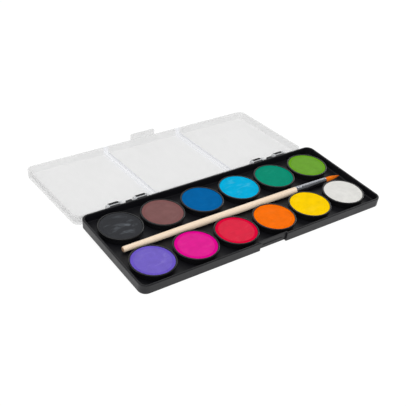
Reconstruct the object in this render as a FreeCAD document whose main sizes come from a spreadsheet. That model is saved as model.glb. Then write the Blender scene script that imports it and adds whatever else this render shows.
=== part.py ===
import FreeCAD, Part
import math
import os
import re

import Sketcher
from FreeCAD import Placement, Rotation, Vector

# A pocket watercolour set: a shallow black tray that holds twelve round pans in two rows with
# a brush lying between them, and a translucent lid that hinges on four snap clips behind the
# tray. Opened, the lid lies flat on its outer face as a mixing palette. Its hinge axis is
# then higher than the tray's own, so the tray leans on its front edge with its back raised.
#
# Every sub-part is drawn in the closed set's frame, in millimetres: X runs along the tray, Y
# towards the hinge and Z up, from the middle of the tray's underside. At the end each one is
# placed as it stands with the lid open, around the centre of the footprint on the table.

DIMENSIONS = {
    "tray_length": 197.5,
    "tray_width": 79.0,
    "tray_height": 6.7,
    "tray_wall": 1.4,
    "tray_floor": 1.2,
    "corner_radius": 5.5,
    "wall_lean": 0.3,
    "rim_round": 0.45,
    "base_round": 0.4,
    "floor_round": 0.8,
    "pan_pitch_long": 31.8,
    "pan_pitch_cross": 39.4,
    "pan_radius": 15.0,
    "pan_taper": 0.6,
    "pan_height": 4.6,
    "pan_floor": 1.9,
    "pan_band": 1.3,
    "pan_band_step": 0.25,
    "pan_rim_round": 0.4,
    "pan_foot_depth": 0.9,
    "pan_seat_gap": 0.1,
    "foot_ring": 2.6,
    "boss_height": 0.7,
    "boss_clearance": 0.3,
    "pan_rim": 1.0,
    "paint_clearance": 0.05,
    "paint_recess": 0.15,
    "paint_edge_round": 0.3,
    "paint_ring_inset": 2.2,
    "paint_ring_round": 0.6,
    "paint_ring_depth": 0.15,
    "lid_height": 7.1,
    "lid_wall": 1.2,
    "lid_top": 1.2,
    "lid_top_round": 0.9,
    "lid_inner_round": 0.8,
    "lid_rim_round": 0.3,
    "parting_gap": 0.15,
    "rib_offset": 33.0,
    "rib_width": 3.6,
    "rib_height": 2.6,
    "rib_round": 1.5,
    "hinge_setback": 3.4,
    "hinge_height": 4.05,
    "pin_radius": 1.05,
    "pin_clearance": 0.08,
    "clip_inner_offset": 50.4,
    "clip_outer_offset": 71.2,
    "clip_width": 7.3,
    "clip_wall": 1.4,
    "clip_lip_height": 1.25,
    "clip_mouth": 1.8,
    "guide_width": 4.5,
    "guide_depth": 2.6,
    "guide_drop": 0.8,
    "guide_foot": 2.0,
    "lug_radius": 1.9,
    "lug_thickness": 1.6,
    "lug_gap": 0.4,
    "lug_depth": 2.3,
    "lug_root": 0.6,
    "latch_width": 21.4,
    "latch_length": 4.9,
    "latch_thickness": 0.8,
    "latch_corner": 1.4,
    "latch_gap": 0.1,
    "latch_pad": 0.35,
    "catch_round": 0.35,
    "catch_length": 16.0,
    "catch_drop": 3.1,
    "catch_spacing": 1.05,
    "recess_depth": 1.3,
    "recess_clearance": 0.3,
    "recess_wall": 1.0,
    "notch_depth": 2.3,
    "notch_height": 2.4,
    "brush_start": -89.5,
    "brush_offset": -0.3,
    "brush_gap": 0.15,
    "butt_radius": 1.9,
    "butt_round": 0.9,
    "handle_taper": 52.0,
    "handle_length": 140.9,
    "handle_radius": 2.45,
    "tenon_clearance": 0.3,
    "tenon_length": 8.0,
    "ferrule_length": 28.8,
    "ferrule_radius": 2.55,
    "ferrule_tip_radius": 2.0,
    "ferrule_wall": 0.25,
    "crimp_first": 2.3,
    "crimp_spacing": 2.1,
    "crimp_radius": 0.55,
    "crimp_depth": 0.14,
    "hair_length": 14.1,
    "hair_root": 3.0,
    "hair_clearance": 0.1,
    "hair_belly": 1.85,
    "hair_belly_at": 4.5,
    "hair_tip": 0.15,
}

BACK_ROW = ("black", "brown", "blue", "cyan", "teal", "green")
FRONT_ROW = ("violet", "magenta", "red", "orange", "yellow", "white")

doc = FreeCAD.newDocument("watercolor_pan_set")
sheet = doc.addObject("Spreadsheet::Sheet", "dims")
for row, (alias, value) in enumerate(DIMENSIONS.items(), start=1):
    sheet.set(f"A{row}", alias.replace("_", " "))
    sheet.set(f"B{row}", str(value))
    sheet.setAlias(f"B{row}", alias)
doc.recompute()


def size(alias):
    """The value of one driving dimension."""
    return float(getattr(sheet, alias))


def linked(expression):
    """The expression with every driving dimension written as a reference to its cell."""
    def cell(match):
        word = match.group()
        return f"dims.{word}" if word in DIMENSIONS else word
    return re.sub("[a-z_]+", cell, expression)


def bind(item, **sizes):
    """Bind properties of a feature to the sheet."""
    for name, expression in sizes.items():
        item.setExpression(name, linked(expression))


# --- Features shared by the sub-parts --------------------------------------------------------

# The cup is bored for its paint, and its foot fits over the boss of the tray.
CUP_RADIUS = "(pan_radius - pan_rim)"
BOSS_RADIUS = "(pan_radius - pan_taper - foot_ring - boss_clearance)"

ALONG_X = Rotation(Vector(0, 1, 0), 90)
UPRIGHT = Rotation()


def new_body(label):
    body = doc.addObject("PartDesign::Body", label)
    body.Label = label
    return body


def primitive(body, kind, name, place, turn=UPRIGHT, **sizes):
    """Add a PartDesign primitive whose place and sizes are bound to the sheet."""
    item = body.newObject(f"PartDesign::{kind}", name)
    item.Placement = Placement(Vector(), turn)
    for axis, expression in zip("xyz", place):
        item.setExpression(f"Placement.Base.{axis}", linked(expression))
    bind(item, **sizes)
    doc.recompute()
    return item


def cut(body, kind, name, place, turn=UPRIGHT, **sizes):
    """Take a primitive out of the body, and make sure that it met the solid."""
    before = body.Shape.Volume
    item = primitive(body, kind, name, place, turn, **sizes)
    if body.Shape.Volume >= before:
        raise RuntimeError(f"{name} cuts nothing")
    return item


def rounded_plan(body, name, height, length, width, radius):
    """A rectangle with round corners, centred on the Z axis at a height above the XY plane."""
    sketch = body.newObject("Sketcher::SketchObject", name)
    plane = next(item for item in body.Origin.OriginFeatures if item.Role == "XY_Plane")
    sketch.AttachmentSupport = [(plane, "")]
    sketch.MapMode = "FlatFace"
    sketch.setExpression("AttachmentOffset.Base.z", linked(height))
    half_x, half_y, turn = 50.0, 30.0, 5.0
    inner_x, inner_y = half_x - turn, half_y - turn
    corners = ((inner_x, inner_y, 0), (-inner_x, inner_y, 90),
               (-inner_x, -inner_y, 180), (inner_x, -inner_y, 270))
    ends = ((half_x, -inner_y, half_x, inner_y), (inner_x, half_y, -inner_x, half_y),
            (-half_x, inner_y, -half_x, -inner_y), (-inner_x, -half_y, inner_x, -half_y))
    sides = [sketch.addGeometry(Part.LineSegment(Vector(a, b, 0), Vector(c, d, 0))) for a, b, c, d in ends]
    arcs = []
    for x, y, start in corners:
        circle = Part.Circle(Vector(x, y, 0), Vector(0, 0, 1), turn)
        arc = Part.ArcOfCircle(circle, math.radians(start), math.radians(start + 90))
        arcs.append(sketch.addGeometry(arc))
    for index in range(4):
        sketch.addConstraint(Sketcher.Constraint("Tangent", sides[index], 2, arcs[index], 1))
        sketch.addConstraint(Sketcher.Constraint("Tangent", arcs[index], 2, sides[(index + 1) % 4], 1))
    for index in (0, 2):
        sketch.addConstraint(Sketcher.Constraint("Vertical", sides[index]))
        sketch.addConstraint(Sketcher.Constraint("Horizontal", sides[index + 1]))
    for index in (1, 2, 3):
        sketch.addConstraint(Sketcher.Constraint("Equal", arcs[0], arcs[index]))
    sketch.addConstraint(Sketcher.Constraint("Symmetric", arcs[0], 3, arcs[2], 3, -1, 1))
    dimensions = (
        ("length", Sketcher.Constraint("DistanceX", sides[2], 1, sides[0], 2, 2 * half_x), length),
        ("width", Sketcher.Constraint("DistanceY", sides[3], 2, sides[1], 1, 2 * half_y), width),
        ("radius", Sketcher.Constraint("Radius", arcs[0], turn), radius),
    )
    for label, constraint, expression in dimensions:
        index = sketch.addConstraint(constraint)
        sketch.renameConstraint(index, label)
        sketch.setExpression(f"Constraints.{label}", linked(expression))
    doc.recompute()
    return sketch


def round_edges(body, name, radius, wanted):
    """Round the edges of the body's last feature that the test picks out."""
    base = body.Tip
    edges = [f"Edge{i}" for i, edge in enumerate(base.Shape.Edges, start=1) if wanted(edge)]
    if not edges:
        raise RuntimeError(f"{name} has no edge to round")
    fillet = body.newObject("PartDesign::Fillet", name)
    fillet.Base = (base, edges)
    fillet.UseAllEdges = False
    bind(fillet, Radius=radius)
    doc.recompute()
    return fillet


def lies_at(height):
    """A test for edges that lie in one horizontal plane."""
    def test(edge):
        return abs(edge.BoundBox.ZMin - height) < 1e-4 and abs(edge.BoundBox.ZMax - height) < 1e-4
    return test


def runs_along(axis, near):
    """A test for straight edges along one axis whose middle lies within 0.01 mm of a point."""
    def test(edge):
        box = edge.BoundBox
        middle = Vector(box.Center)
        setattr(middle, axis, getattr(near, axis))
        straight = max(box.XLength, box.YLength, box.ZLength) == getattr(box, f"{axis.upper()}Length")
        return straight and middle.distanceToPoint(near) < 0.01
    return test


# --- Tray: one black moulding with its pan bosses, latch recess and hinge clips ---------------

def add_hinge_clip(body, name, offset):
    """A U-shaped clip on a web behind the tray, before its bore and mouth are cut."""
    start = f"{offset} - clip_width / 2"
    shell = "(pin_radius + pin_clearance + clip_wall)"
    primitive(body, "AdditiveBox", f"{name}_web",
              (start, "tray_width / 2 - wall_lean - tray_wall / 2", f"hinge_height - {shell}"),
              Length="clip_width", Width="hinge_setback + wall_lean + tray_wall / 2",
              Height=f"{shell} + clip_lip_height")
    primitive(body, "AdditiveCylinder", f"{name}_shell",
              (start, "tray_width / 2 + hinge_setback", "hinge_height"), ALONG_X,
              Radius=shell, Height="clip_width")


def cut_hinge_clips(body, name, side):
    """Trim, bore and open the two clips on one side of the tray in line with each other."""
    first = "clip_inner_offset - clip_width" if side > 0 else "0 - clip_outer_offset - clip_width"
    span = "clip_outer_offset - clip_inner_offset + 2 * clip_width"
    axis_y = "tray_width / 2 + hinge_setback"
    reach = "(pin_radius + pin_clearance + clip_wall + 1)"
    cut(body, "SubtractiveBox", f"{name}_trim",
        (first, "tray_width / 2 + 0.01", "hinge_height + clip_lip_height"),
        Length=span, Width=f"hinge_setback + {reach}", Height=reach)
    cut(body, "SubtractiveCylinder", f"{name}_bore", (first, axis_y, "hinge_height"), ALONG_X,
        Radius="pin_radius + pin_clearance", Height=span)
    cut(body, "SubtractiveBox", f"{name}_mouth", (first, f"{axis_y} - clip_mouth / 2", "hinge_height"),
        Length=span, Width="clip_mouth", Height=reach)


def add_guide(body, name, side):
    """The small block between two clips that keeps the lid's lugs from sliding sideways."""
    middle = "(clip_inner_offset + clip_outer_offset) / 2"
    start = f"{middle} - guide_width / 2" if side > 0 else f"0 - {middle} - guide_width / 2"
    primitive(body, "AdditiveBox", name,
              (start, "tray_width / 2 - wall_lean - tray_wall / 2", "guide_foot"),
              Length="guide_width", Width="guide_depth + wall_lean + tray_wall / 2",
              Height="tray_height - guide_drop - guide_foot")


def make_tray():
    body = new_body("tray")
    plan = rounded_plan(body, "tray_plan", "0", "tray_length - 2 * wall_lean",
                        "tray_width - 2 * wall_lean", "corner_radius - wall_lean")
    block = body.newObject("PartDesign::Pad", "tray_block")
    block.Profile = plan
    bind(block, Length="tray_height", TaperAngle="atan(wall_lean / tray_height)")
    doc.recompute()
    hollow_plan = rounded_plan(body, "tray_hollow_plan", "tray_height", "tray_length - 2 * tray_wall",
                               "tray_width - 2 * tray_wall", "corner_radius - tray_wall")
    hollow = body.newObject("PartDesign::Pocket", "tray_hollow")
    hollow.Profile = hollow_plan
    bind(hollow, Length="tray_height - tray_floor", TaperAngle="-atan(wall_lean / tray_height)")
    doc.recompute()
    round_edges(body, "tray_inner_corner", "floor_round", lies_at(size("tray_floor")))
    round_edges(body, "tray_rim", "rim_round", lies_at(size("tray_height")))
    round_edges(body, "tray_base", "base_round", lies_at(0))

    # The latch lies in a recess of the front wall, which steps inwards behind it. The recess is
    # deeper at its foot, where a fingertip gets under the latch.
    half = "(latch_width / 2 + recess_clearance)"
    for name, depth, top in (("latch_recess", "recess_depth", "tray_height"),
                             ("finger_notch", "notch_depth", "(notch_height + recess_wall)")):
        primitive(body, "AdditiveBox", f"{name}_wall",
                  (f"0 - {half} - recess_wall", "wall_lean + tray_wall / 2 - tray_width / 2",
                   "tray_floor / 2"),
                  Length=f"2 * {half} + 2 * recess_wall",
                  Width=f"{depth} + recess_wall - wall_lean - tray_wall / 2",
                  Height=f"{top} - tray_floor / 2")
    for name, depth, top in (("latch_recess", "recess_depth", "(tray_height + 1)"),
                             ("finger_notch", "notch_depth", "notch_height")):
        cut(body, "SubtractiveBox", name, (f"0 - {half}", "0 - tray_width / 2 - 1", "0 - 1"),
            Length=f"2 * {half}", Width=f"{depth} + 1", Height=f"{top} + 1")
    primitive(body, "AdditiveCylinder", "latch_catch",
              ("0 - catch_length / 2", "recess_depth - tray_width / 2", "tray_height - catch_drop"), ALONG_X,
              Radius="catch_round", Height="catch_length")

    for row, _ in enumerate((FRONT_ROW, BACK_ROW)):
        for column in range(len(BACK_ROW)):
            primitive(body, "AdditiveCylinder", f"boss_{row}_{column}",
                      (*pan_centre(row, column), "tray_floor / 2"),
                      Radius=BOSS_RADIUS, Height="tray_floor / 2 + boss_height")

    for side, word in ((-1, "left"), (1, "right")):
        for place in ("inner", "outer"):
            offset = f"{side} * clip_{place}_offset"
            add_hinge_clip(body, f"clip_{word}_{place}", offset)
        cut_hinge_clips(body, f"clips_{word}", side)
        add_guide(body, f"guide_{word}", side)
    return body


def pan_centre(row, column):
    """Where one pan sits: row 0 is the front row, column 0 the left end."""
    across = (len(BACK_ROW) - 1) / 2
    return f"{column - across} * pan_pitch_long", f"{row - 0.5} * pan_pitch_cross"


# --- Lid: one translucent moulding with two palette ribs, hinge lugs and hinge pins -----------

def add_lug(body, name, start):
    """An arm behind the lid's wall that turns down to the hinge axis."""
    rim = "(tray_height + parting_gap)"
    axis_y = "tray_width / 2 + hinge_setback"
    primitive(body, "AdditiveBox", f"{name}_arm", (start, "tray_width / 2 - lug_root", rim),
              Length="lug_thickness", Width="hinge_setback + lug_root + lug_radius", Height="lug_depth")
    primitive(body, "AdditiveBox", f"{name}_leg", (start, f"{axis_y} - lug_radius", "hinge_height"),
              Length="lug_thickness", Width="2 * lug_radius", Height=f"{rim} + lug_depth / 2 - hinge_height")
    primitive(body, "AdditiveCylinder", f"{name}_eye", (start, axis_y, "hinge_height"), ALONG_X,
              Radius="lug_radius", Height="lug_thickness")
    corner = Vector(0, size("tray_width") / 2 + size("hinge_setback") + size("lug_radius"),
                    size("tray_height") + size("parting_gap") + size("lug_depth"))

    def outer_corner(edge):
        box = edge.BoundBox
        return runs_along("x", corner)(edge) and abs(box.XLength - size("lug_thickness")) < 1e-3
    round_edges(body, f"{name}_corner", "lug_radius", outer_corner)


def make_lid():
    rim = "(tray_height + parting_gap)"
    body = new_body("lid")
    plan = rounded_plan(body, "lid_plan", rim, "tray_length", "tray_width", "corner_radius")
    block = body.newObject("PartDesign::Pad", "lid_block")
    block.Profile = plan
    bind(block, Length="lid_height", TaperAngle="-atan(wall_lean / lid_height)")
    doc.recompute()
    hollow_plan = rounded_plan(body, "lid_hollow_plan", rim, "tray_length - 2 * lid_wall",
                               "tray_width - 2 * lid_wall", "corner_radius - lid_wall")
    hollow = body.newObject("PartDesign::Pocket", "lid_hollow")
    hollow.Profile = hollow_plan
    hollow.Reversed = True
    bind(hollow, Length="lid_height - lid_top", TaperAngle="-atan(wall_lean / lid_height)")
    doc.recompute()
    top = size("tray_height") + size("parting_gap") + size("lid_height")
    round_edges(body, "lid_inner_edge", "lid_inner_round", lies_at(top - size("lid_top")))

    for side, word in ((-1, "left"), (1, "right")):
        primitive(body, "AdditiveBox", f"rib_{word}",
                  (f"{side} * rib_offset - rib_width / 2", "lid_wall / 2 - tray_width / 2",
                   f"{rim} + lid_height - lid_top - rib_height"),
                  Length="rib_width", Width="tray_width - lid_wall", Height="rib_height + lid_top / 2")
        edge_height = top - size("lid_top") - size("rib_height")
        for edge_side in (-1, 1):
            edge_x = side * size("rib_offset") + edge_side * size("rib_width") / 2
            round_edges(body, f"rib_{word}_edge_{edge_side + 1}", "rib_round",
                        runs_along("y", Vector(edge_x, 0, edge_height)))
    round_edges(body, "lid_top_edge", "lid_top_round", lies_at(top))
    round_edges(body, "lid_rim", "lid_rim_round", lies_at(size("tray_height") + size("parting_gap")))

    # The wall is thicker above the latch tab, and square on its outside.
    primitive(body, "AdditiveBox", "latch_root", ("0 - latch_width / 2", "0 - tray_width / 2", rim),
              Length="latch_width", Width="lid_wall + latch_pad", Height="lid_height - lid_top_round")

    reach = "(clip_width / 2 + lug_gap)"
    for side, word in ((-1, "left"), (1, "right")):
        for place in ("inner", "outer"):
            middle = f"{side} * clip_{place}_offset"
            name = f"{word}_{place}"
            add_lug(body, f"lug_{name}_low", f"{middle} - {reach} - lug_thickness")
            add_lug(body, f"lug_{name}_high", f"{middle} + {reach}")
            primitive(body, "AdditiveCylinder", f"pin_{name}",
                      (f"{middle} - {reach} - lug_thickness / 2", "tray_width / 2 + hinge_setback",
                       "hinge_height"), ALONG_X,
                      Radius="pin_radius", Height=f"2 * {reach} + lug_thickness")
    return body


# --- Latch tab: a springy tongue below the lid's front rim with a bead that snaps in -----------

def make_latch_tab():
    body = new_body("latch_tab")
    outer = "(0 - tray_width / 2)"
    root_z = "(tray_height + parting_gap - latch_gap - latch_thickness / 2)"
    primitive(body, "AdditiveBox", "tongue",
              ("0 - latch_width / 2", outer, "tray_height + parting_gap - latch_length"),
              Length="latch_width", Width="latch_thickness",
              Height="latch_length - latch_gap - latch_thickness / 2")
    foot = size("tray_height") + size("parting_gap") - size("latch_length")
    for side in (-1, 1):
        corner = Vector(side * size("latch_width") / 2, 0, foot)
        round_edges(body, f"tongue_corner_{side + 1}", "latch_corner", runs_along("y", corner))
    primitive(body, "AdditiveCylinder", "flex_root",
              ("0 - latch_width / 2", f"{outer} + latch_thickness / 2", root_z), ALONG_X,
              Radius="latch_thickness / 2", Height="latch_width")
    primitive(body, "AdditiveCylinder", "snap_bead",
              ("0 - catch_length / 2", f"{outer} + latch_thickness",
               "tray_height - catch_drop - catch_spacing"), ALONG_X,
              Radius="catch_round", Height="catch_length")
    return body


# --- Pans: a black cup with a banded rim, and the paint tablet that fills it -------------------

def make_pan_cup(colour, centre):
    body = new_body(f"pan_cup_{colour}")
    foot = "(tray_floor + pan_seat_gap)"
    primitive(body, "AdditiveCone", f"wall_{colour}", (*centre, foot),
              Radius1="pan_radius - pan_taper", Radius2="pan_radius - pan_band_step",
              Height="pan_height - pan_band")
    primitive(body, "AdditiveCylinder", f"band_{colour}", (*centre, f"{foot} + pan_height - pan_band"),
              Radius="pan_radius", Height="pan_band")
    round_edges(body, f"band_round_{colour}", "pan_rim_round",
                lies_at(size("tray_floor") + size("pan_seat_gap") + size("pan_height")))
    cut(body, "SubtractiveCylinder", f"cup_{colour}", (*centre, f"{foot} + pan_floor"),
        Radius=CUP_RADIUS, Height="pan_height")
    cut(body, "SubtractiveCylinder", f"foot_{colour}", (*centre, f"{foot} - 1"),
        Radius="pan_radius - pan_taper - foot_ring", Height="pan_foot_depth + 1")
    return body


def make_paint(colour, centre):
    body = new_body(f"paint_{colour}")
    base = "(tray_floor + pan_seat_gap + pan_floor)"
    depth = "(pan_height - pan_floor - paint_recess)"
    primitive(body, "AdditiveCylinder", f"tablet_{colour}", (*centre, base),
              Radius=f"{CUP_RADIUS} - paint_clearance", Height=depth)
    surface = size("tray_floor") + size("pan_seat_gap") + size("pan_height") - size("paint_recess")
    round_edges(body, f"tablet_round_{colour}", "paint_edge_round", lies_at(surface))
    cut(body, "SubtractiveTorus", f"ring_{colour}",
        (*centre, f"{base} + {depth} + paint_ring_round - paint_ring_depth"),
        Radius1=f"{CUP_RADIUS} - paint_ring_inset", Radius2="paint_ring_round")
    return body


# --- Brush: turned handle, crimped ferrule and a round pointed tuft ----------------------------

BRUSH_Z = "(tray_floor + brush_gap + ferrule_radius)"


def brush_piece(body, kind, name, start, **sizes):
    return primitive(body, kind, name, (start, "0 + brush_offset", BRUSH_Z), ALONG_X, **sizes)


def make_brush_handle():
    body = new_body("brush_handle")
    brush_piece(body, "AdditiveCone", "handle_taper_cone", "0 + brush_start",
                Radius1="butt_radius", Radius2="handle_radius", Height="handle_taper")
    brush_piece(body, "AdditiveCylinder", "handle_shaft", "brush_start + handle_taper",
                Radius="handle_radius", Height="handle_length - handle_taper")
    brush_piece(body, "AdditiveCylinder", "handle_tenon", "brush_start + handle_length",
                Radius="ferrule_radius - ferrule_wall - tenon_clearance", Height="tenon_length")
    butt = size("brush_start")
    round_edges(body, "butt_rounding", "butt_round", lambda edge: abs(edge.BoundBox.XMax - butt) < 1e-4)
    return body


def make_brush_ferrule():
    body = new_body("brush_ferrule")
    start = "(brush_start + handle_length)"
    brush_piece(body, "AdditiveCone", "ferrule_skin", start,
                Radius1="ferrule_radius", Radius2="ferrule_tip_radius", Height="ferrule_length")
    cut(body, "SubtractiveCone", "ferrule_bore", (start, "0 + brush_offset", BRUSH_Z), ALONG_X,
        Radius1="ferrule_radius - ferrule_wall", Radius2="ferrule_tip_radius - ferrule_wall",
        Height="ferrule_length")
    for number in range(2):
        cut(body, "SubtractiveTorus", f"crimp_{number}",
            (f"{start} + crimp_first + {number} * crimp_spacing", "0 + brush_offset", BRUSH_Z), ALONG_X,
            Radius1="ferrule_radius + crimp_radius - crimp_depth", Radius2="crimp_radius")
    return body


HAIR_RADIUS = "(ferrule_tip_radius - ferrule_wall - hair_clearance)"


def make_brush_hair():
    body = new_body("brush_hair")
    mouth = "(brush_start + handle_length + ferrule_length)"
    brush_piece(body, "AdditiveCylinder", "hair_glued_end", f"{mouth} - hair_root",
                Radius=HAIR_RADIUS, Height="hair_root")
    brush_piece(body, "AdditiveCone", "hair_belly_cone", mouth,
                Radius1=HAIR_RADIUS, Radius2="hair_belly", Height="hair_belly_at")
    brush_piece(body, "AdditiveCone", "hair_point", f"{mouth} + hair_belly_at",
                Radius1="hair_belly", Radius2="hair_tip", Height="hair_length - hair_belly_at")
    return body


# --- Build, place, check and write ------------------------------------------------------------

def open_placements():
    """The tray's and the lid's placements with the lid lying flat on the table.

    The hinge axis is as high above the table as the lid's outer face is from it. The tray
    turns about its rounded front bottom edge until its own axis is at that height.
    """
    closed_height = size("tray_height") + size("parting_gap") + size("lid_height")
    axis = Vector(0, size("tray_width") / 2 + size("hinge_setback"), size("hinge_height"))
    axis_height = closed_height - size("hinge_height")
    edge = Vector(0, size("wall_lean") + size("base_round") - size("tray_width") / 2, size("base_round"))
    arm = axis - edge
    rise = math.asin((axis_height - size("base_round")) / arm.Length)
    lean = math.degrees(rise - math.atan2(arm.z, arm.y))
    tilt = Placement(Vector(), Rotation(Vector(1, 0, 0), lean))
    tilt.Base = Vector(0, 0, axis_height - tilt.multVec(axis).z)
    opening = Rotation(Vector(1, 0, 0), -180 - lean)
    turned = Placement(Vector(), opening, axis)
    return tilt, tilt.multiply(turned), lean, axis


def place_all(fixed, hinged):
    tray_place, lid_place, lean, axis = open_placements()
    for body in fixed:
        body.Placement = tray_place
    for body in hinged:
        body.Placement = lid_place
    doc.recompute()
    box = FreeCAD.BoundBox()
    for body in fixed + hinged:
        box.add(body.Shape.optimalBoundingBox(False))
    shift = Placement(Vector(0, -(box.YMin + box.YMax) / 2, 0), Rotation())
    for body in fixed + hinged:
        body.Placement = shift.multiply(body.Placement)
    doc.recompute()
    flex = Vector(0, (size("latch_thickness") - size("tray_width")) / 2,
                  size("tray_height") + size("parting_gap") - size("latch_gap") - size("latch_thickness") / 2)
    print("lean in degrees", round(lean, 4))
    print("box", [round(v, 3) for v in (box.XMin, box.YMin, box.ZMin, box.XMax, box.YMax, box.ZMax)])
    print("hinge axis", shift.multiply(tray_place).multVec(axis))
    print("latch flex axis", shift.multiply(lid_place).multVec(flex))
    print("tray underside centre", shift.multiply(tray_place).Base)
    print("up of the tray", tray_place.Rotation.multVec(Vector(0, 0, 1)))


def check_document():
    for item in doc.Objects:
        if "Invalid" in item.State or "Error" in item.State:
            raise RuntimeError(f"{item.Name} failed: {item.State}")


def write(body):
    if body.Shape.isNull() or not body.Shape.isValid() or len(body.Shape.Solids) != 1:
        raise RuntimeError(f"{body.Label} is not one valid solid")
    body.Shape.exportStep(f"parts/{body.Label}.step")


fixed_bodies = [make_tray()]
for row, colours in enumerate((FRONT_ROW, BACK_ROW)):
    for column, colour in enumerate(colours):
        fixed_bodies.append(make_pan_cup(colour, pan_centre(row, column)))
        fixed_bodies.append(make_paint(colour, pan_centre(row, column)))
fixed_bodies += [make_brush_handle(), make_brush_ferrule(), make_brush_hair()]
hinged_bodies = [make_lid(), make_latch_tab()]
place_all(fixed_bodies, hinged_bodies)
check_document()
os.makedirs("parts", exist_ok=True)
for sub_part in fixed_bodies + hinged_bodies:
    write(sub_part)
print("wrote", len(fixed_bodies + hinged_bodies), "parts")
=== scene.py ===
import math

import bmesh
import bpy
from mathutils import Matrix, Vector, noise


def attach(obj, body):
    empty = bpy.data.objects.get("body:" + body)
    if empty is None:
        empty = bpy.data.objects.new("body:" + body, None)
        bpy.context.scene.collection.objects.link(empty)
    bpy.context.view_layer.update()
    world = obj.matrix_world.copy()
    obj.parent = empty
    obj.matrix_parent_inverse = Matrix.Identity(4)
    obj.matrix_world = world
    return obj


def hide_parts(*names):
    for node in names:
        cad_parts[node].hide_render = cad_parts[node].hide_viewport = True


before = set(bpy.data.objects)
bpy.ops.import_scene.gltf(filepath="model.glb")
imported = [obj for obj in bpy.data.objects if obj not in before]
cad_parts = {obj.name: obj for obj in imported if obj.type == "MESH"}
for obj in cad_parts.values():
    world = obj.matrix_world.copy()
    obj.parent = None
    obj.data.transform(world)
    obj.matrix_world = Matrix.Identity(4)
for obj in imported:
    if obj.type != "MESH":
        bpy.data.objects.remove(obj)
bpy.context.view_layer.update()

# --- Tray -------------------------------------------------------------------------------------
# The tray is one black polystyrene moulding with a boss under each pan and four hinge clips
# behind it. It leans on its front edge, because the open lid holds its hinge up.

TRAY_LEAN = math.radians(4.1127)
TRAY_MIDDLE = (0.0, -0.042536, 0.0027837)
SPARK_GRAIN = 0.0003
HANDLING_MARKS = 0.009

# From the tray's own coordinates, with the middle of its underside at zero, to the frame's.
tray_plane = Matrix.Translation(TRAY_MIDDLE) @ Matrix.Rotation(TRAY_LEAN, 4, "X")


def linear(code):
    """An sRGB hex colour as linear red, green, blue and alpha."""
    values = [int(code[i:i + 2], 16) / 255 for i in (0, 2, 4)]
    light = [v / 12.92 if v <= 0.04045 else ((v + 0.055) / 1.055) ** 2.4 for v in values]
    return (*light, 1.0)


def add(tree, kind, inputs=None, **settings):
    """Add a node with its settings. An input takes a value or the socket that feeds it, and goes
    by number where names repeat: a colour Mix has its share at 0 and its colours at 6 and 7."""
    node = tree.nodes.new(kind)
    for name, value in settings.items():
        setattr(node, name, value)
    for name, value in (inputs or {}).items():
        if isinstance(value, bpy.types.NodeSocket):
            tree.links.new(value, node.inputs[name])
        else:
            node.inputs[name].default_value = value
    return node


def new_material(name):
    """An empty material, its node tree and the place of each point on the object."""
    material = bpy.data.materials.new(name)
    material.use_nodes = True
    material.node_tree.nodes.clear()
    place = add(material.node_tree, "ShaderNodeTexCoord").outputs["Object"]
    return material, material.node_tree, place


def finish_material(tree, **inputs):
    """Put the principled shader and the output behind a material's patterns."""
    named = {name.replace("_", " "): value for name, value in inputs.items()}
    shader = add(tree, "ShaderNodeBsdfPrincipled", named)
    add(tree, "ShaderNodeOutputMaterial", {"Surface": shader.outputs["BSDF"]})


def dress(pieces, material):
    """Give pieces that keep their CAD mesh a material."""
    for piece in pieces:
        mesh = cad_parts[piece].data
        mesh.materials.clear()
        mesh.materials.append(material)


# Moulded polystyrene: near-black all through, a satin skin from the lightly sparked mould, and
# slightly duller patches where it has been handled. The spark grain is drawn at 0.3 mm, coarser
# than it is, so that it shows.
tray_plastic, tree, place = new_material("black_polystyrene_moulded")
grain = add(tree, "ShaderNodeTexNoise", {"Vector": place, "Scale": 1 / SPARK_GRAIN, "Detail": 2.0})
handling = add(tree, "ShaderNodeTexNoise", {"Vector": place, "Scale": 1 / HANDLING_MARKS,
                                            "Detail": 4.0, "Distortion": 0.6})
tint = add(tree, "ShaderNodeMix", {0: handling.outputs["Fac"], 6: linear("101013"), 7: linear("15151A")},
           data_type="RGBA")
gloss = add(tree, "ShaderNodeMapRange", {"Value": handling.outputs["Fac"], "From Min": 0.3,
                                         "From Max": 0.7, "To Min": 0.36, "To Max": 0.46})
skin = add(tree, "ShaderNodeBump", {"Height": grain.outputs["Fac"], "Strength": 0.12, "Distance": 0.00006})
finish_material(tree, Base_Color=tint.outputs[2], Roughness=gloss.outputs["Result"], IOR=1.44,
                Normal=skin.outputs["Normal"])
dress(["tray"], tray_plastic)

# --- Lid --------------------------------------------------------------------------------------
# The lid is one moulding of natural polypropylene, frosted and see-through, with two ribs that
# part its inside into three mixing wells. Its pins snap into the clips of the tray.

RIB_OFFSET = 0.033
RIB_HALF = 0.0018
RIB_FADE = (0.8, 1.3)
RIB_CLEARER = -0.08
NEAR_WALL = 0.00336
HINGE_FADE = 0.0003
HINGE_MILKIER = 0.3
EDGE_ON_FROM = 0.72
EDGE_ON_MILKIER = 0.14
FROST_GRAIN = 0.0009
FLOW_MARKS = 0.018

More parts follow.
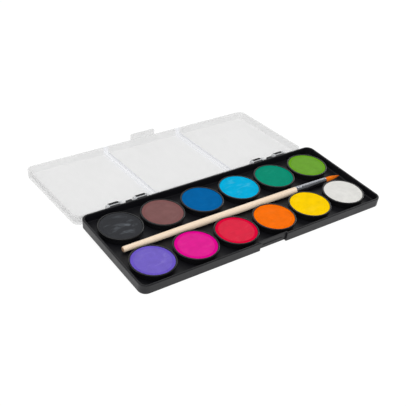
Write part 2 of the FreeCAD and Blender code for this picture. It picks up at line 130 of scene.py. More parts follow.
# Natural polypropylene: milky, because its crystals scatter light, so it greys what lies behind
# it. A rib's faces are clearer, because more of them lie behind each other, and a face that is
# The thick hinge pins and lugs are the milkiest. The ribs are painted a lighter, bluer milk: painted
# light, so that their stacked faces don't read as shaded.
# The frost of the mould is drawn at 0.9 mm, because the real 0.1 mm doesn't show, and the melt's
# flow marks are 18 mm wide.
lid_plastic, tree, place = new_material("natural_polypropylene_frosted")
frost = add(tree, "ShaderNodeTexNoise", {"Vector": place, "Scale": 1 / FROST_GRAIN, "Detail": 2.0})
flow_place = add(tree, "ShaderNodeMapping", {"Vector": place, "Scale": (1.0, 0.35, 1.0)})
flow = add(tree, "ShaderNodeTexNoise", {"Vector": flow_place.outputs["Vector"], "Scale": 1 / FLOW_MARKS,
                                        "Detail": 3.0})
axes = add(tree, "ShaderNodeSeparateXYZ", {"Vector": place})
side = add(tree, "ShaderNodeMath", {0: axes.outputs["X"]}, operation="ABSOLUTE")
from_rib = add(tree, "ShaderNodeMath", {0: side.outputs["Value"], 1: RIB_OFFSET}, operation="SUBTRACT")
rib_distance = add(tree, "ShaderNodeMath", {0: from_rib.outputs["Value"]}, operation="ABSOLUTE")
on_rib = add(tree, "ShaderNodeMapRange", {"Value": rib_distance.outputs["Value"],
                                          "From Min": RIB_HALF * RIB_FADE[1],
                                          "From Max": RIB_HALF * RIB_FADE[0]},
             interpolation_type="SMOOTHSTEP")
at_hinge = add(tree, "ShaderNodeMapRange", {"Value": axes.outputs["Y"], "From Min": NEAR_WALL,
                                            "From Max": NEAR_WALL - HINGE_FADE})
# Painted light: the ribs get a lighter, bluer milk than the rest of the lid.
milk_with_painted_rib_light = add(tree, "ShaderNodeMix", {0: on_rib.outputs["Result"], 6: linear("E0E0E0"), 7: linear("E6E9F2")},
           data_type="RGBA")
dense_milk_with_rib_light = add(tree, "ShaderNodeMix", {0: at_hinge.outputs["Result"], 6: milk_with_painted_rib_light.outputs[2],
                                         7: linear("E6E8EA")}, data_type="RGBA")
cloud = add(tree, "ShaderNodeMapRange", {"Value": flow.outputs["Fac"], "From Min": 0.3, "From Max": 0.7,
                                         "To Min": 0.32, "To Max": 0.35})
edge_on = add(tree, "ShaderNodeLayerWeight", {"Blend": 0.5})
long_path = add(tree, "ShaderNodeMapRange", {"Value": edge_on.outputs["Facing"], "From Min": EDGE_ON_FROM,
                                             "From Max": 1.0, "To Max": EDGE_ON_MILKIER},
                interpolation_type="SMOOTHSTEP")
clearer = add(tree, "ShaderNodeMath", {0: on_rib.outputs["Result"], 1: RIB_CLEARER,
                                       2: cloud.outputs["Result"]}, operation="MULTIPLY_ADD")
thicker = add(tree, "ShaderNodeMath", {0: clearer.outputs["Value"], 1: long_path.outputs["Result"]},
              operation="ADD")
scatter = add(tree, "ShaderNodeMath", {0: at_hinge.outputs["Result"], 1: HINGE_MILKIER,
                                       2: thicker.outputs["Value"]}, operation="MULTIPLY_ADD")
skin = add(tree, "ShaderNodeBump", {"Height": frost.outputs["Fac"], "Strength": 0.1, "Distance": 0.00004})
finish_material(tree, Base_Color=dense_milk_with_rib_light.outputs[2], Roughness=0.34, IOR=1.49,
                Alpha=scatter.outputs["Value"], Normal=skin.outputs["Normal"])
dress(["lid"], lid_plastic)

# --- Latch tab --------------------------------------------------------------------------------
# The tab is a springy tongue moulded on the lid's free edge, so it has the lid's finish. It bends
# outwards, and its bead snaps over the catch in the tray's latch recess.

dress(["latch_tab"], lid_plastic)

# --- Pan cups ---------------------------------------------------------------------------------
# Each pan is a small black cup with a thicker band at its rim. It is moulded in polystyrene and
# pushed down over a boss of the tray, so it can be lifted out and changed.

BACK_ROW = ("black", "brown", "blue", "cyan", "teal", "green")
FRONT_ROW = ("violet", "magenta", "red", "orange", "yellow", "white")
RUB_MARKS = 0.003

# Polystyrene from a polished mould: black and shinier than the tray, with fine rub marks about
# 3 mm apart from stacking.
cup_plastic, tree, place = new_material("black_polystyrene_polished")
rubs = add(tree, "ShaderNodeTexNoise", {"Vector": place, "Scale": 1 / RUB_MARKS, "Detail": 5.0,
                                        "Distortion": 1.2})
tint = add(tree, "ShaderNodeMix", {0: rubs.outputs["Fac"], 6: linear("0E0E10"), 7: linear("17171A")},
           data_type="RGBA")
gloss = add(tree, "ShaderNodeMapRange", {"Value": rubs.outputs["Fac"], "From Min": 0.35, "From Max": 0.65,
                                         "To Min": 0.16, "To Max": 0.24})
finish_material(tree, Base_Color=tint.outputs[2], Roughness=gloss.outputs["Result"], IOR=1.55)
dress([f"pan_cup_{pigment}" for pigment in BACK_ROW + FRONT_ROW], cup_plastic)

# --- Paint tablets ----------------------------------------------------------------------------
# Each tablet is pigment and gum pressed dry into its cup. The die leaves a shallow ring near the
# edge, and the face is slightly uneven, with rubbed smears that show most on black and violet. The
# smears' lighter colour is partly the rubbed wear and partly a painted sheen.

PAN_PITCH_LONG = 0.0318
PAN_PITCH_CROSS = 0.0394
PAINT_RADIUS = 0.01395
PAINT_TOP = 0.00575
PAINT_BASE = 0.0032
EDGE_ROUND = 0.0003
RING_RADIUS = 0.0118
RING_WIDTH = 0.00032
RING_DEPTH = 0.00016
UNEVEN = 0.00005
UNEVEN_SPACING = 0.006
SEGMENTS = 144
FLAT_SHARE = 0.78
FLAT_LOOPS = 20
RING_LOOPS = 4
RIM_LOOPS = 3
EDGE_TURNS = (25, 45, 65, 90)
SPECKS = 0.00035
CLOUDS = 0.005
SMEARS = 0.006
SMEAR_SCALE = (0.5, 1.3, 1.0)
SMEAR_TURN = 0.9
PATTERN_SHIFT = 0.37
RUBBED_SHARE = 0.8
OUTSIDE_STRONGER = 0.07

# The face, the rubbed smear with its painted sheen and the strength of the smears of each colour.
PAINTS = {
    "black": ("38393C", "6A6F75", 0.7),
    "brown": ("7F5958", "98706D", 0.25),
    "blue": ("0261A2", "1C78B8", 0.25),
    "cyan": ("06AEDC", "5CC8E6", 0.45),
    "teal": ("0D8C70", "2FA286", 0.3),
    "green": ("6DA337", "80B24C", 0.3),
    "violet": ("7463C3", "9486D2", 0.55),
    "magenta": ("E02391", "E6489F", 0.25),
    "red": ("DD2C47", "E4495C", 0.25),
    "orange": ("F9710E", "FB8838", 0.25),
    "yellow": ("FED102", "FEDA3C", 0.2),
    "white": ("E3E2DE", "EDECE9", 0.3),
}


def face_radii():
    """Radii of the face's loops, closer together at the pressed ring and at the round edge."""
    flat = [PAINT_RADIUS * FLAT_SHARE * i / FLAT_LOOPS for i in range(1, FLAT_LOOPS + 1)]
    near_ring = [RING_RADIUS + RING_WIDTH * i / 2 for i in range(-RING_LOOPS, RING_LOOPS + 1)]
    rim_start, rim_end = near_ring[-1], PAINT_RADIUS - EDGE_ROUND
    rim = [rim_start + (rim_end - rim_start) * i / RIM_LOOPS for i in range(1, RIM_LOOPS + 1)]
    edge = [rim_end + EDGE_ROUND * math.sin(math.radians(turn)) for turn in EDGE_TURNS]
    return flat + near_ring + rim + edge


def face_height(radius, x, y, seed):
    """Height of the tablet's face above the tray's underside."""
    wave = noise.noise(Vector((x / UNEVEN_SPACING, y / UNEVEN_SPACING, seed)))
    height = PAINT_TOP - UNEVEN + UNEVEN * wave
    height -= RING_DEPTH * math.exp(-((radius - RING_RADIUS) / RING_WIDTH) ** 2)
    past = max(0.0, radius - (PAINT_RADIUS - EDGE_ROUND))
    return height - EDGE_ROUND + math.sqrt(max(0.0, EDGE_ROUND ** 2 - past ** 2))


def tablet(name, centre, seed):
    """A closed tablet of paint, made around its own middle and then put in its place."""
    shape = bmesh.new()
    turns = [2 * math.pi * i / SEGMENTS for i in range(SEGMENTS)]
    loops = []
    for radius in face_radii():
        points = [(radius * math.cos(turn), radius * math.sin(turn)) for turn in turns]
        loops.append([shape.verts.new((x, y, face_height(radius, x, y, seed))) for x, y in points])
    rim = [(PAINT_RADIUS * math.cos(turn), PAINT_RADIUS * math.sin(turn)) for turn in turns]
    loops.append([shape.verts.new((x, y, PAINT_BASE)) for x, y in rim])
    top = shape.verts.new((0, 0, face_height(0, 0, 0, seed)))
    base = shape.verts.new((0, 0, PAINT_BASE))
    for i in range(SEGMENTS):
        after = (i + 1) % SEGMENTS
        shape.faces.new((top, loops[0][i], loops[0][after]))
        shape.faces.new((base, loops[-1][after], loops[-1][i]))
        for inner, outer in zip(loops, loops[1:]):
            shape.faces.new((inner[i], outer[i], outer[after], inner[after]))
    shape.transform(tray_plane @ Matrix.Translation((*centre, 0)))
    mesh = bpy.data.meshes.new(name)
    for face in shape.faces:
        face.smooth = True
    shape.to_mesh(mesh)
    shape.free()
    piece = bpy.data.objects.new(name, mesh)
    bpy.context.scene.collection.objects.link(piece)
    return piece


def pressed_pigment(colour, centre, seed):
    """Pressed watercolour: matt and evenly coloured, a little stronger outside the die's ring,
    with pigment specks, soft clouds and rubbed smears 12 mm long and 5 mm wide, whose lighter
    colour is partly rubbed wear and partly a painted sheen. The specks are drawn at 0.35 mm,
    coarser than they are, so that they show."""
    face, smear_and_sheen, strength = PAINTS[colour]
    material, tree, place = new_material(f"pressed_pigment_{colour}")
    middle = tray_plane @ Vector((*centre, PAINT_TOP))
    level = add(tree, "ShaderNodeMapping", {"Vector": place, "Location": middle,
                                            "Rotation": (TRAY_LEAN, 0, 0)}, vector_type="TEXTURE")
    flat = level.outputs["Vector"]
    shifted = add(tree, "ShaderNodeVectorMath", {0: flat, 1: (seed, PATTERN_SHIFT * seed, 0)},
                  operation="ADD")
    turned = add(tree, "ShaderNodeMapping", {"Vector": shifted.outputs["Vector"], "Scale": SMEAR_SCALE,
                                             "Rotation": (0, 0, SMEAR_TURN * seed)})
    specks = add(tree, "ShaderNodeTexNoise", {"Vector": flat, "Scale": 1 / SPECKS, "Detail": 2.0})
    clouds = add(tree, "ShaderNodeTexNoise", {"Vector": shifted.outputs["Vector"], "Scale": 1 / CLOUDS,
                                              "Detail": 4.0})
    strokes = add(tree, "ShaderNodeTexNoise", {"Vector": turned.outputs["Vector"], "Scale": 1 / SMEARS,
                                               "Detail": 3.0, "Roughness": 0.45, "Distortion": 1.4})
    radius = add(tree, "ShaderNodeVectorMath", {0: flat}, operation="LENGTH")
    outside = add(tree, "ShaderNodeMapRange", {"Value": radius.outputs["Value"], "From Min": RING_RADIUS,
                                               "From Max": RING_RADIUS + RING_WIDTH},
                  interpolation_type="SMOOTHSTEP")
    # Rubbed smears: partly real wear, partly a painted sheen in a colour lighter than the face.
    rubbed_and_sheen = add(tree, "ShaderNodeMapRange", {"Value": strokes.outputs["Fac"], "From Min": 0.52,
                                              "From Max": 0.76, "To Max": strength})
    inside = add(tree, "ShaderNodeMapRange", {"Value": radius.outputs["Value"], "From Min": RING_RADIUS,
                                              "From Max": RING_RADIUS * RUBBED_SHARE})
    smear_and_sheen_share = add(tree, "ShaderNodeMath", {0: rubbed_and_sheen.outputs["Result"], 1: inside.outputs["Result"]},
                  operation="MULTIPLY")
    body = add(tree, "ShaderNodeMix", {0: smear_and_sheen_share.outputs["Value"], 6: linear(face), 7: linear(smear_and_sheen)},
               data_type="RGBA")
    shade = add(tree, "ShaderNodeMapRange", {"Value": clouds.outputs["Fac"], "From Min": 0.3,
                                             "From Max": 0.7, "To Min": 0.93, "To Max": 1.05})
    dots = add(tree, "ShaderNodeMapRange", {"Value": specks.outputs["Fac"], "From Min": 0.3,
                                            "From Max": 0.7, "To Min": 0.96, "To Max": 1.04})
    value = add(tree, "ShaderNodeMath", {0: shade.outputs["Result"], 1: dots.outputs["Result"]},
                operation="MULTIPLY")
    stronger = add(tree, "ShaderNodeMath", {0: outside.outputs["Result"], 1: OUTSIDE_STRONGER, 2: 1.0},
                   operation="MULTIPLY_ADD")
    toned = add(tree, "ShaderNodeHueSaturation", {"Color": body.outputs[2],
                                                  "Saturation": stronger.outputs["Value"],
                                                  "Value": value.outputs["Value"]})
    relief = add(tree, "ShaderNodeMath", {0: specks.outputs["Fac"], 1: strokes.outputs["Fac"]},
                 operation="ADD")
    skin = add(tree, "ShaderNodeBump", {"Height": relief.outputs["Value"], "Strength": 0.3,
                                        "Distance": 0.00008})
    finish_material(tree, Base_Color=toned.outputs["Color"], Roughness=0.9, Specular_IOR_Level=0.04,
                    Normal=skin.outputs["Normal"])
    return material


for row, colours in enumerate((FRONT_ROW, BACK_ROW)):
    for column, colour in enumerate(colours):
        middle_column = (len(colours) - 1) / 2
        pan_centre = ((column - middle_column) * PAN_PITCH_LONG, (row - 0.5) * PAN_PITCH_CROSS)
        order = 1 + column + len(colours) * row
        piece = tablet(f"tablet_{colour}", pan_centre, order)
        piece.data.materials.append(pressed_pigment(colour, pan_centre, order))
        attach(piece, f"pan_{colour}")
        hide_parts(f"paint_{colour}")

# --- Brush handle -----------------------------------------------------------------------------
# The handle is turned from a light, close-grained hardwood, tapered to a rounded butt, sanded and
# barely lacquered. Its tenon is pushed into the ferrule.

HANDLE_START = -0.0895
BUTT_DEPTH = 0.0006
FIBRE_LENGTH = 0.025
FIBRE_WIDTH = 0.0003
BAND_LENGTH = 0.045
BAND_WIDTH = 0.0016


def stretched(length, width):
    """Scale of a pattern whose marks lie along the brush."""
    return 1 / length, 1 / width, 1 / width


# Lime wood: pale, with straight grain along the handle and growth bands 1.6 mm apart. The fibres
# are drawn 0.3 mm wide, coarser than they are, so that they show. The butt is darker end grain.
lime_wood, tree, place = new_material("lime_wood_turned")
fibre_place = add(tree, "ShaderNodeMapping", {"Vector": place,
                                              "Scale": stretched(FIBRE_LENGTH, FIBRE_WIDTH)})
fibres = add(tree, "ShaderNodeTexNoise", {"Vector": fibre_place.outputs["Vector"], "Scale": 1.0,
                                          "Detail": 3.0})
band_place = add(tree, "ShaderNodeMapping", {"Vector": place, "Scale": stretched(BAND_LENGTH, BAND_WIDTH)})
bands = add(tree, "ShaderNodeTexNoise", {"Vector": band_place.outputs["Vector"], "Scale": 1.0,
                                         "Detail": 2.0})
early = add(tree, "ShaderNodeMix", {0: bands.outputs["Fac"], 6: linear("FFEFDC"), 7: linear("F5D9B8")},
            data_type="RGBA")
streaks = add(tree, "ShaderNodeMapRange", {"Value": fibres.outputs["Fac"], "From Min": 0.55,
                                           "From Max": 0.8, "To Max": 0.35})
grained = add(tree, "ShaderNodeMix", {0: streaks.outputs["Result"], 6: early.outputs[2],
                                      7: linear("E0B98E")}, data_type="RGBA")
axes = add(tree, "ShaderNodeSeparateXYZ", {"Vector": place})
end_grain = add(tree, "ShaderNodeMapRange", {"Value": axes.outputs["X"],
                                             "From Min": HANDLE_START + BUTT_DEPTH,
                                             "From Max": HANDLE_START})
wood = add(tree, "ShaderNodeMix", {0: end_grain.outputs["Result"], 6: grained.outputs[2],
                                   7: linear("C9A080")}, data_type="RGBA")
skin = add(tree, "ShaderNodeBump", {"Height": fibres.outputs["Fac"], "Strength": 0.25, "Distance": 0.00005})
finish_material(tree, Base_Color=wood.outputs[2], Roughness=0.5, IOR=1.5, Normal=skin.outputs["Normal"])
dress(["brush_handle"], lime_wood)

# --- Ferrule ----------------------------------------------------------------------------------
# The ferrule is a tapered tube drawn from thin aluminium. Two rolled crimps hold it on the
# handle's tenon, and the hair is glued in its narrow end.

FERRULE_START = 0.0514
FERRULE_LENGTH = 0.0288
FERRULE_RADIUS = 0.00255
FERRULE_TIP_RADIUS = 0.002
FERRULE_WALL = 0.00025
CRIMPS_AT = (0.0023, 0.0044)
CRIMP_DEPTH = 0.00038
CRIMP_WIDTH = 0.00042
ROLLED_EDGE = 0.00012
FERRULE_STEP = 0.00014
FERRULE_SEGMENTS = 64
BRUSH_SIDE = -0.0003
BRUSH_HEIGHT = 0.0039
DRAW_LENGTH = 0.02
DRAW_WIDTH = 0.0003


def tube_radius(along):
    """Outer radius of the ferrule: a straight taper, pressed in at the crimps and rolled in a
    little at both ends."""
    radius = FERRULE_RADIUS + (FERRULE_TIP_RADIUS - FERRULE_RADIUS) * along / FERRULE_LENGTH
    pressed = sum(math.exp(-((along - crimp) / CRIMP_WIDTH) ** 2) for crimp in CRIMPS_AT)
    rolled = math.exp(-along / ROLLED_EDGE) + math.exp((along - FERRULE_LENGTH) / ROLLED_EDGE)
    return radius - CRIMP_DEPTH * pressed - ROLLED_EDGE * rolled


# Drawn aluminium: bright grey metal with fine lines along the draw that vary its gloss. They are
# drawn 0.3 mm apart, coarser than they are, so that they show.
aluminium, tree, place = new_material("aluminium_drawn")
line_place = add(tree, "ShaderNodeMapping", {"Vector": place, "Scale": stretched(DRAW_LENGTH, DRAW_WIDTH)})
lines = add(tree, "ShaderNodeTexNoise", {"Vector": line_place.outputs["Vector"], "Scale": 1.0,
                                         "Detail": 2.0})
gloss = add(tree, "ShaderNodeMapRange", {"Value": lines.outputs["Fac"], "From Min": 0.3,
                                         "From Max": 0.7, "To Min": 0.22, "To Max": 0.3})
tint = add(tree, "ShaderNodeMix", {0: lines.outputs["Fac"], 6: linear("BCC0C7"), 7: linear("CACED4")},
           data_type="RGBA")
finish_material(tree, Base_Color=tint.outputs[2], Metallic=1.0, Roughness=gloss.outputs["Result"])

steps = [FERRULE_STEP * i for i in range(int(FERRULE_LENGTH / FERRULE_STEP))] + [FERRULE_LENGTH]
outside = [(along, tube_radius(along)) for along in steps]
inside = [(along, radius - FERRULE_WALL) for along, radius in reversed(outside)]
turns = [2 * math.pi * i / FERRULE_SEGMENTS for i in range(FERRULE_SEGMENTS)]
shape = bmesh.new()
loops = []
for along, radius in outside + inside:
    loops.append([shape.verts.new((along, radius * math.cos(turn), radius * math.sin(turn)))
                  for turn in turns])
for here, beyond in zip(loops, loops[1:] + loops[:1]):
    for i in range(FERRULE_SEGMENTS):
        after = (i + 1) % FERRULE_SEGMENTS
        shape.faces.new((here[i], here[after], beyond[after], beyond[i])).smooth = True
bmesh.ops.recalc_face_normals(shape, faces=shape.faces)
shape.transform(tray_plane @ Matrix.Translation((FERRULE_START, BRUSH_SIDE, BRUSH_HEIGHT)))
ferrule_mesh = bpy.data.meshes.new("crimped_ferrule")
shape.to_mesh(ferrule_mesh)
shape.free()
ferrule_mesh.materials.append(aluminium)
ferrule = bpy.data.objects.new("crimped_ferrule", ferrule_mesh)
bpy.context.scene.collection.objects.link(ferrule)
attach(ferrule, "brush")
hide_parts("brush_ferrule")

# --- Brush hair -------------------------------------------------------------------------------
# The tuft is a bundle of nylon filaments, dyed orange. They are bound and glued in the ferrule,
# swell to a belly just outside it and close to a point.

HAIR_MOUTH = FERRULE_START + FERRULE_LENGTH
HAIR_ROOT = 0.0025
HAIR_LENGTH = 0.0139
HAIR_RADIUS = 0.00168
FILAMENT_RADIUS = 0.00012
FILAMENTS = 420
FILAMENT_POINTS = 10
FILAMENT_SIDES = 5
GOLDEN_TURN = 2.39996
SHORTEST_REACH = 0.86
REACH_SEED = 7
STREAK_LENGTH = 0.03
STREAK_WIDTH = 0.00015
DARK_FROM = 0.006

# The tuft's outline, as shares of its length and of the bundle's radius.
OUTLINE = ((0.0, 0.78), (0.15, 0.86), (0.4, 0.92), (0.72, 0.6), (1.0, 0.05))
WIDEST = max(width for share, width in OUTLINE)

# Dyed nylon: an even satin. The filaments differ in shade, in streaks 0.15 mm wide, and the colour
# darkens over the last part of the tuft towards the tip. The filaments are drawn thicker than the
# real 0.1 mm, so that they show.
nylon, tree, place = new_material("nylon_filament_dyed")
strand_place = add(tree, "ShaderNodeMapping", {"Vector": place,
                                               "Scale": stretched(STREAK_LENGTH, STREAK_WIDTH)})
strands = add(tree, "ShaderNodeTexNoise", {"Vector": strand_place.outputs["Vector"], "Scale": 1.0,
                                           "Detail": 2.0})
axes = add(tree, "ShaderNodeSeparateXYZ", {"Vector": place})
to_tip = add(tree, "ShaderNodeMapRange", {"Value": axes.outputs["X"], "From Min": HAIR_MOUTH + DARK_FROM,
                                          "From Max": HAIR_MOUTH + HAIR_LENGTH})
shades = add(tree, "ShaderNodeMix", {0: strands.outputs["Fac"], 6: linear("EE6C04"), 7: linear("FF9418")},
             data_type="RGBA")
streaked_and_darker_to_tip = add(tree, "ShaderNodeMix", {0: to_tip.outputs["Result"], 6: shades.outputs[2], 7: linear("C85A0A")},
           data_type="RGBA")
finish_material(tree, Base_Color=streaked_and_darker_to_tip.outputs[2], Roughness=0.5, Specular_IOR_Level=0.1)

bundle_tree = bpy.data.node_groups.new("filament_bundle", "GeometryNodeTree")
for label, kind in (("Filaments", "NodeSocketInt"), ("Length", "NodeSocketFloat"),
                    ("Bundle Radius", "NodeSocketFloat"), ("Filament Radius", "NodeSocketFloat")):
    bundle_tree.interface.new_socket(label, in_out="INPUT", socket_type=kind)
bundle_tree.interface.new_socket("Geometry", in_out="OUTPUT", socket_type="NodeSocketGeometry")
given = add(bundle_tree, "NodeGroupInput").outputs

# The filaments' seats lie on a spiral. Each keeps how far out it lies, its turn around the bundle
# and how far it reaches, from its number.
number = add(bundle_tree, "GeometryNodeInputIndex").outputs["Index"]
share = add(bundle_tree, "ShaderNodeMath", {0: number, 1: given["Filaments"]}, operation="DIVIDE")
spread = add(bundle_tree, "ShaderNodeMath", {0: share.outputs["Value"]}, operation="SQRT")
turn = add(bundle_tree, "ShaderNodeMath", {0: number, 1: GOLDEN_TURN}, operation="MULTIPLY")
reach = add(bundle_tree, "FunctionNodeRandomValue", {2: SHORTEST_REACH, 3: 1.0, "Seed": REACH_SEED},
            data_type="FLOAT")
seats = add(bundle_tree, "GeometryNodePoints", {"Count": given["Filaments"]}).outputs[0]
for label, value in (("spread", spread.outputs["Value"]), ("turn", turn.outputs["Value"]),
                     ("reach", reach.outputs[1])):
    noted = add(bundle_tree, "GeometryNodeStoreNamedAttribute",
                {"Geometry": seats, "Name": label, "Value": value}, data_type="FLOAT", domain="POINT")
    seats = noted.outputs[0]
straight = add(bundle_tree, "GeometryNodeCurvePrimitiveLine", {"End": (1.0, 0.0, 0.0)})
divided = add(bundle_tree, "GeometryNodeResampleCurve", {"Curve": straight.outputs[0],
                                                         "Count": FILAMENT_POINTS})
copies = add(bundle_tree, "GeometryNodeInstanceOnPoints", {"Points": seats, "Instance": divided.outputs[0]})
loose = add(bundle_tree, "GeometryNodeRealizeInstances", {"Geometry": copies.outputs[0]})

# Each point of a filament then moves out by the tuft's outline, and along by its reach.
own = {label: add(bundle_tree, "GeometryNodeInputNamedAttribute", {"Name": label},
                  data_type="FLOAT").outputs[0] for label in ("spread", "turn", "reach")}
run = add(bundle_tree, "GeometryNodeSplineParameter").outputs["Factor"]
belly = add(bundle_tree, "ShaderNodeFloatCurve", {"Value": run})
curve = belly.mapping.curves[0]
for end in (0, -1):
    curve.points[end].location = OUTLINE[end]
for point in OUTLINE[1:-1]:
    curve.points.new(*point)
belly.mapping.update()
wide = add(bundle_tree, "ShaderNodeMath", {0: belly.outputs["Value"], 1: given["Bundle Radius"]},
           operation="MULTIPLY")
out = add(bundle_tree, "ShaderNodeMath", {0: wide.outputs["Value"], 1: own["spread"]}, operation="MULTIPLY")
cosine = add(bundle_tree, "ShaderNodeMath", {0: own["turn"]}, operation="COSINE")
sine = add(bundle_tree, "ShaderNodeMath", {0: own["turn"]}, operation="SINE")
across = add(bundle_tree, "ShaderNodeMath", {0: out.outputs["Value"], 1: cosine.outputs["Value"]},
             operation="MULTIPLY")
upward = add(bundle_tree, "ShaderNodeMath", {0: out.outputs["Value"], 1: sine.outputs["Value"]},
             operation="MULTIPLY")
reached = add(bundle_tree, "ShaderNodeMath", {0: run, 1: own["reach"]}, operation="MULTIPLY")
forward = add(bundle_tree, "ShaderNodeMath", {0: reached.outputs["Value"], 1: given["Length"]},
              operation="MULTIPLY")
spot = add(bundle_tree, "ShaderNodeCombineXYZ", {"X": forward.outputs["Value"],
                                                 "Y": across.outputs["Value"],
                                                 "Z": upward.outputs["Value"]})
shaped = add(bundle_tree, "GeometryNodeSetPosition", {"Geometry": loose.outputs[0],
                                                      "Position": spot.outputs["Vector"]})
profile = add(bundle_tree, "GeometryNodeCurvePrimitiveCircle", {"Resolution": FILAMENT_SIDES,
                                                                "Radius": given["Filament Radius"]})
tubes = add(bundle_tree, "GeometryNodeCurveToMesh", {"Curve": shaped.outputs[0],
                                                     "Profile Curve": profile.outputs[0],
                                                     "Fill Caps": True})
whole = add(bundle_tree, "GeometryNodeRealizeInstances", {"Geometry": tubes.outputs[0]})
coloured = add(bundle_tree, "GeometryNodeSetMaterial", {"Geometry": whole.outputs[0], "Material": nylon})
add(bundle_tree, "NodeGroupOutput", {"Geometry": coloured.outputs[0]})

maker = bpy.data.objects.new("filament_maker", bpy.data.meshes.new("filament_maker"))
bpy.context.scene.collection.objects.link(maker)
bundle = maker.modifiers.new("filaments", "NODES")
bundle.node_group = bundle_tree
sizes = {"Filaments": FILAMENTS, "Length": HAIR_LENGTH + HAIR_ROOT,
         "Bundle Radius": HAIR_RADIUS / WIDEST, "Filament Radius": FILAMENT_RADIUS}
for socket in bundle_tree.interface.items_tree:
    if socket.name in sizes:
        bundle[socket.identifier] = sizes[socket.name]
maker.update_tag()
depsgraph = bpy.context.evaluated_depsgraph_get()
filaments = bpy.data.meshes.new_from_object(maker.evaluated_get(depsgraph))
bpy.data.objects.remove(maker)
root_place = Matrix.Translation((HAIR_MOUTH - HAIR_ROOT, BRUSH_SIDE, BRUSH_HEIGHT))
filaments.transform(tray_plane @ root_place)
tuft = bpy.data.objects.new("hair_tuft", filaments)
bpy.context.scene.collection.objects.link(tuft)
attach(tuft, "brush")
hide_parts("brush_hair")

# --- Table, light and camera ------------------------------------------------------------------
# The set lies on a white table under a soft overhead light. A long light on its right draws the
# pans' rims, and a wide one in front fills the shadows and shows in no gloss.

TABLE_TOP = -0.0003
TABLE_HALF = 3.0
TABLE_GLOW = 1.08
TABLE_GLOW_SHARE = 0.87

table_mesh = bpy.data.meshes.new("table")
corners = [(-TABLE_HALF, -TABLE_HALF), (TABLE_HALF, -TABLE_HALF), (TABLE_HALF, TABLE_HALF),
           (-TABLE_HALF, TABLE_HALF)]
table_mesh.from_pydata([(x, y, TABLE_TOP) for x, y in corners], [], [(0, 1, 2, 3)])
table = bpy.data.objects.new("table", table_mesh)
bpy.context.scene.collection.objects.link(table)


def seen_directly(tree):
    """One for the rays that show a surface itself: from the eye, mirrored or let through."""
    path = add(tree, "ShaderNodeLightPath")
    both = add(tree, "ShaderNodeMath", {0: path.outputs["Is Camera Ray"], 1: path.outputs["Is Glossy Ray"]},
               operation="ADD", use_clamp=True)
    every = add(tree, "ShaderNodeMath", {0: both.outputs["Value"], 1: path.outputs["Is Transmission Ray"]},
                operation="ADD", use_clamp=True)
    return every.outputs["Value"]


# White card: matt, with the set's shadow on it. Where it is seen or mirrored it mostly glows, so
# that it reads as plain white.
white_card, tree, place = new_material("white_card")
glow_share = add(tree, "ShaderNodeMath", {0: seen_directly(tree), 1: TABLE_GLOW_SHARE},
                 operation="MULTIPLY")
card = add(tree, "ShaderNodeBsdfDiffuse", {"Color": linear("F2F2F2")})
glow = add(tree, "ShaderNodeEmission", {"Strength": TABLE_GLOW})
mixed = add(tree, "ShaderNodeMixShader", {0: glow_share.outputs["Value"], 1: card.outputs[0],
                                          2: glow.outputs[0]})
add(tree, "ShaderNodeOutputMaterial", {"Surface": mixed.outputs[0]})
table_mesh.materials.append(white_card)

# The room is an even, pale light for everything that it falls on, and white where it is seen. What
# shows in a gloss is the white backdrop behind the set and the dimmer room above and before it.
# BACKDROP_EDGE and BACKDROP_SIDE are where the backdrop fades, in a ray's direction.
ROOM_LIGHT = 0.48
ROOM_GLOSS = 0.15
BACKDROP_EDGE = (0.45, 0.8)
BACKDROP_SIDE = (-0.3, 0.2)

room = bpy.data.worlds.new("room")
bpy.context.scene.world = room
room.use_nodes = True
tree = room.node_tree
tree.nodes.clear()
outward = add(tree, "ShaderNodeTexCoord").outputs["Generated"]
direction = add(tree, "ShaderNodeSeparateXYZ", {"Vector": outward})
below_edge = add(tree, "ShaderNodeMapRange", {"Value": direction.outputs["Z"], "From Min": BACKDROP_EDGE[1],
                                              "From Max": BACKDROP_EDGE[0]})
behind = add(tree, "ShaderNodeMapRange", {"Value": direction.outputs["Y"], "From Min": BACKDROP_SIDE[0],
                                          "From Max": BACKDROP_SIDE[1]})
on_backdrop = add(tree, "ShaderNodeMath", {0: below_edge.outputs["Result"], 1: behind.outputs["Result"]},
                  operation="MULTIPLY")
mirrored = add(tree, "ShaderNodeMix", {0: on_backdrop.outputs["Value"], 2: ROOM_GLOSS, 3: 1.0},
               data_type="FLOAT")
path = add(tree, "ShaderNodeLightPath")
white = add(tree, "ShaderNodeMath", {0: path.outputs["Is Camera Ray"],
                                     1: path.outputs["Is Transmission Ray"]}, operation="MAXIMUM")
shown = add(tree, "ShaderNodeMix", {0: path.outputs["Is Glossy Ray"], 2: ROOM_LIGHT,
                                    3: mirrored.outputs[0]}, data_type="FLOAT")
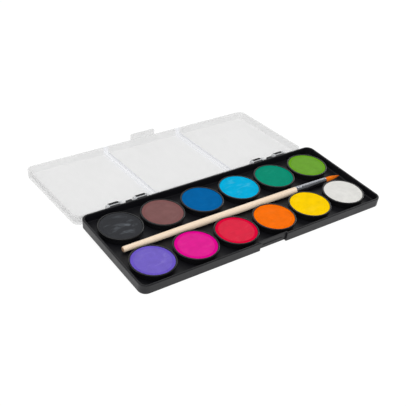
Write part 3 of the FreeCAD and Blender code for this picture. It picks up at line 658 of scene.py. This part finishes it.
level = add(tree, "ShaderNodeMix", {0: white.outputs["Value"], 2: shown.outputs[0], 3: 1.0},
            data_type="FLOAT")
sky = add(tree, "ShaderNodeBackground", {"Color": linear("FFFFFF"), "Strength": level.outputs[0]})
add(tree, "ShaderNodeOutputWorld", {"Surface": sky.outputs[0]})

# Each lamp's name, place, size and power, and whether it shows in a gloss. They face the hinge.
LAMPS = (("overhead", (-0.1, 0.1, 0.9), (0.6, 0.6), 1.7, True),
         ("right_strip", (0.8, 0.15, 0.4), (0.12, 0.5), 0.7, True),
         ("front_fill", (-0.4, -0.75, 0.75), (1.0, 1.0), 6.4, False))
for name, at, size, power, in_gloss in LAMPS:
    lamp = bpy.data.lights.new(name, "AREA")
    lamp.shape = "RECTANGLE"
    lamp.size, lamp.size_y = size
    lamp.energy = power
    light = bpy.data.objects.new(name, lamp)
    light.visible_glossy = in_gloss
    towards = Vector(at).to_track_quat("Z", "Y").to_matrix().to_4x4()
    light.matrix_world = Matrix.Translation(at) @ towards
    bpy.context.scene.collection.objects.link(light)

# The camera is placed in the tray's own coordinates.
AZIMUTH, ELEVATION, ROLL = (math.radians(angle) for angle in (-38.173, 34.894, 6.043))
AIM = Vector((-0.017989, 0.015636, 0.0057))
DISTANCE = 0.511468
SENSOR = 36.0
LENS = 66.93
NEAREST = 0.01

back = Vector((math.sin(AZIMUTH) * math.cos(ELEVATION), -math.cos(AZIMUTH) * math.cos(ELEVATION),
               math.sin(ELEVATION)))
right = (-back).cross(Vector((0, 0, 1))).normalized()
up = right.cross(-back)
rolled_right = math.cos(ROLL) * right + math.sin(ROLL) * up
rolled_up = math.cos(ROLL) * up - math.sin(ROLL) * right
facing = Matrix((rolled_right, rolled_up, back)).transposed().to_4x4()
eye = bpy.data.cameras.new("camera")
eye.sensor_width = SENSOR
eye.lens = LENS
eye.clip_start = NEAREST
camera = bpy.data.objects.new("camera", eye)
camera.matrix_world = tray_plane @ Matrix.Translation(AIM + back * DISTANCE) @ facing
bpy.context.scene.collection.objects.link(camera)
bpy.context.scene.camera = camera
bpy.context.scene.view_settings.view_transform = "Standard"
